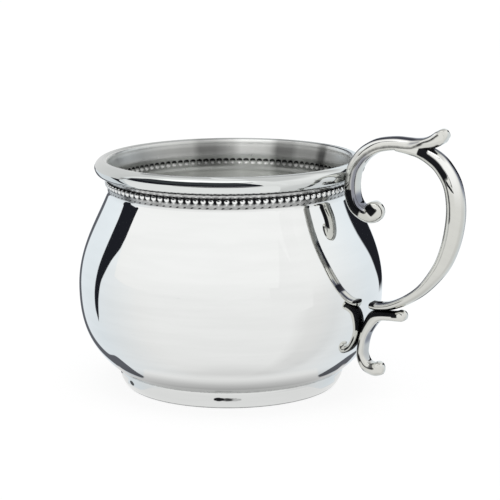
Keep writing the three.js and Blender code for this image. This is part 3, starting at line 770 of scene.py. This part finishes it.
def tent():
    """The white light tent: duller low down, at the sides and behind, and brightest high up on the left."""
    el, az = np.meshgrid(np.arange(-90, 91, TENT_STEP), np.arange(-180, 181, TENT_STEP), indexing="ij")
    aside = np.abs(az)

    def zone(turns, by_turn, by_height):
        return read_off(turns, by_turn) * read_off(el, by_height)

    level = read_off(el, ((-90, 0.7), (-74, 0.74), (-68, 0.8), (-60, 0.86), (-50, 0.88), (-22, 0.9), (3, 0.925),
                          (27, 0.965), (36, 1.0)))
    sides = zone(aside, ((55, 0), (100, 1), (130, 1), (180, 0.6)), ((-70, 0.5), (-30, 1), (0, 0.6), (20, 0)))
    level = level * (1 - 0.09 * sides)
    lamp = zone(az, ((-100, 0), (-80, 1), (20, 1), (50, 0.1)), ((33, 0), (42, 1), (70, 1), (80, 0)))
    level = level + 0.45 * lamp
    behind = read_off(aside, ((120, 0), (150, 1)))
    most_behind = read_off(el, ((32, 1), (40, 0.5), (64, 0.68), (84, 0.85)))
    level = level * (1 - behind) + behind * np.minimum(level, most_behind)
    high_right = zone(az, ((30, 0), (50, 1), (110, 1), (150, 0)), ((48, 0), (58, 1)))
    level = level * (1 - 0.28 * high_right)
    low_right = zone(az, ((45, 0), (60, 1), (84, 1), (98, 0)),
                     ((-66, 0.4), (-56, 1.25), (-38, 1), (-12, 0.8), (8, 0)))
    level = level * (1 - 0.1 * low_right)
    cool = zone(aside, ((70, 0), (125, 1)), ((-60, 0.3), (-30, 1), (20, 1), (40, 0)))
    sheet("light_tent", on_dome(el, az, TENT_RADIUS),
          np.stack([level * (1 - 0.06 * cool), level, level * (1 + 0.05 * cool)], -1))


def card(name, corners, shade):
    """A flat studio card. Its corners are in the camera's frame."""
    mesh = bpy.data.meshes.new(name)
    mesh.from_pydata([to_row(*c).tolist() for c in corners], [], [tuple(range(len(corners)))])
    mesh.materials.append(plain_emission(name, shade))
    stage(add_object(name, mesh))


def card_by_the_arch():
    """A white card in front of the handle's arch, whose corners are in the handle's frame: x out, y back, in mm."""
    corners = [(10, -25, 62), (43, -25, 62), (50, -25, 57), (72, -25, 57), (72, -25, 100), (10, -25, 100)]
    c, s = math.cos(VIEW_TURN), math.sin(VIEW_TURN)
    card("white_card_by_the_arch", [(x * c + y * s, y * c - x * s, z) for x, y, z in corners], (1, 1, 1))


def neck_sheets():
    """A white sheet in front at the height of the neck, which keeps the dark room out of the bowl. Its top is dark
    further out, where the rim and the beads see it."""
    near = NECK_SHEET_R * np.stack([np.sin(NECK_SHEET_AZ), -np.cos(NECK_SHEET_AZ)], -1)
    far = np.array(through(NECK_SHEET_EDGE, 2))
    flat = near[:, None] + (far - near)[:, None] * NECK_SHEET_STEPS[:, None]
    level = read_off(NECK_SHEET_STEPS, ((0, 1.0), (0.3, 0.96), (1, 0.93)))
    sheet("white_sheet_at_the_neck", to_row(flat[..., 0], flat[..., 1], NECK_SHEET_Z),
          np.broadcast_to(level, flat.shape[:2]))
    card("dark_top_of_the_sheet", [(x, y, NECK_SHEET_Z + DARK_TOP_GAP) for x, y in DARK_TOP], NIGHT)


def front_right_card():
    """A white card in front on the right, brighter towards its top. Its left edge leans over the cup."""
    heights, left, level = np.array(FRONT_CARD).T[..., None]
    x = left + (FRONT_CARD_RIGHT - left) * np.linspace(0, 1, FRONT_CARD_COLUMNS)
    sheet("white_card_front_right", to_row(x, FRONT_CARD_Y, heights), level * np.ones(FRONT_CARD_COLUMNS))


def ring_round_the_foot():
    """The lit table close to the foot: pale in front, in shade behind, and fading out at its outer edge."""
    turns = np.arange(-180, 181, 2.5)
    steps = np.array([[0], [0.3], [0.7], [1]])
    radius = FOOT_SHEET_R + (read_off(np.abs(turns), FOOT_SHEET_REACH) - FOOT_SHEET_R) * steps
    solid = np.ones(radius.shape)
    solid[-1] = 0
    sheet("table_round_the_foot", about(np.radians(turns), radius, FOOT_SHEET_Z),
          read_off(np.abs(turns), FOOT_SHEET_LIGHT) * np.ones(radius.shape), solid)


def left_card():
    """A curved grey card close to the left of the rim, above the neck."""
    turns = np.arange(-168, -51, 6.0)
    heights = np.array(LEFT_CARD_HEIGHTS)[:, None]
    level = read_off(turns, LEFT_CARD_LIGHT) * np.ones(heights.shape)
    solid = np.ones(level.shape)
    solid[:, -1] = 0
    sheet("grey_card_left_of_the_rim", about(np.radians(turns), LEFT_CARD_R, heights), level, solid)


def floor():
    """The pale floor. It glows for the camera alone, which is what makes it white, and the metal sees the tent."""
    n = Nodes("pale_floor")
    path = n.add("ShaderNodeLightPath")
    cloth = n.add("ShaderNodeBsdfDiffuse", {"Color": (FLOOR_GREY, FLOOR_GREY, FLOOR_GREY, 1)})
    seen = n.math("MULTIPLY", path.outputs["Is Camera Ray"], FLOOR_GLOW)
    glow = n.add("ShaderNodeEmission", {"Color": WHITE, "Strength": seen})
    mesh = bpy.data.meshes.new("floor")
    s = FLOOR_HALF
    mesh.from_pydata([(-s, -s, 0), (s, -s, 0), (s, s, 0), (-s, s, 0)], [], [(0, 1, 2, 3)])
    mesh.materials.append(n.finish(n.add("ShaderNodeAddShader", {0: cloth.outputs[0], 1: glow.outputs[0]})))
    obj = add_object("floor", mesh)
    obj.visible_glossy = False
    stage(obj, glossy_only=False)


def world():
    """A plain white world."""
    w = bpy.data.worlds.new("studio")
    bpy.context.scene.world = w
    w.use_nodes = True
    back = w.node_tree.nodes["Background"]
    back.inputs["Color"].default_value = WHITE
    back.inputs["Strength"].default_value = 1.0


def studio():
    world()
    floor()
    tent()
    flag("flag_left", [
        (-0.8, 16.8, 17.4), (3, 16.6, 20), (7.5, 15.9, 21.7), (12.5, 16.4, 23.3), (19, 17.3, 25.4), (28, 18.3, 27.5),
        (35, 18.5, 30.4), (42, 18.6, 32.9), (48, 18.5, 35), (54, 17.9, 37.9), (59, 17.3, 40), (64, 17, 40.4),
        (72, 16.5, 43), (78, 16, 45)], NIGHT, 0.8, by_the_cup)
    # The far left flag below the horizon and the whole low right flag are painted shadow: grey sheets that stand for
    # the cup's shadow on the table behind it, as the bowl reflects it.
    flag("flag_and_painted_shadow_far_left", [
        (-45, -152.5, -148), (-42, -154.5, -138), (-37, -157, -135), (-32, -159, -145), (-26, -161, -149),
        (-20, -165, -152), (-14, -168, -153), (-9, -168, -154), (-5, -168, -155), (2, -168, -153),
        (12, -168, -150), (40, -170, -150)], DUSK)
    flag("flag_right", [(-12, 150, 168), (-7, 143, 166), (-4, 140, 166), (1, 136, 164), (7, 131, 156),
                        (12, 128, 150), (30, 120, 140)], NIGHT)
    flag("painted_shadow_low_right", [(-45.5, 150, 156), (-42, 145.5, 159), (-36, 144, 160), (-29, 151, 163)], DUSK)
    ring_round_the_foot()
    flag("room_front", [(5, -62, 31), (8, -84, 31), (14, -97, 31), (22, -98, 31), (30, -98, 31)], NIGHT)
    flag("room_above", [(31, -98, 31), (40, -96, 31), (50, -88, 31), (60, -40, 29)], CEILING, 4)
    front_right_card()
    neck_sheets()
    card_by_the_arch()
    card("white_card_over_the_mouth", [(-27, -14, 63), (27, -14, 63), (27, 22, 72), (-27, 22, 72)], MOUTH_CARD)
    left_card()


def camera():
    """The photograph's camera, as it was fitted to the cup's ellipses."""
    data = bpy.data.cameras.new("camera")
    cam = add_object("camera", data)
    target = Vector(CAMERA_TARGET)
    place = target + CAMERA_DISTANCE * Vector((0, -math.cos(CAMERA_RISE), math.sin(CAMERA_RISE)))
    move = Matrix.Translation((AXIS_X, 0, 0)) @ Matrix.Rotation(VIEW_TURN, 4, "Z")
    target, place = move @ target, move @ place
    look = (target - place).to_track_quat("-Z", "Y").to_matrix().to_4x4()
    cam.matrix_world = Matrix.Translation(place * MM) @ look @ Matrix.Rotation(-CAMERA_ROLL, 4, "Z")
    data.sensor_width = SENSOR_MM
    data.lens = FOCAL_PX / PICTURE_PX * SENSOR_MM
    data.clip_start, data.clip_end = CLIP_NEAR, CLIP_FAR
    bpy.context.scene.camera = cam


cup_body()
rim_wire()
foot_ring()
handle()
studio()
camera()
bpy.context.scene.view_settings.view_transform = "Standard"
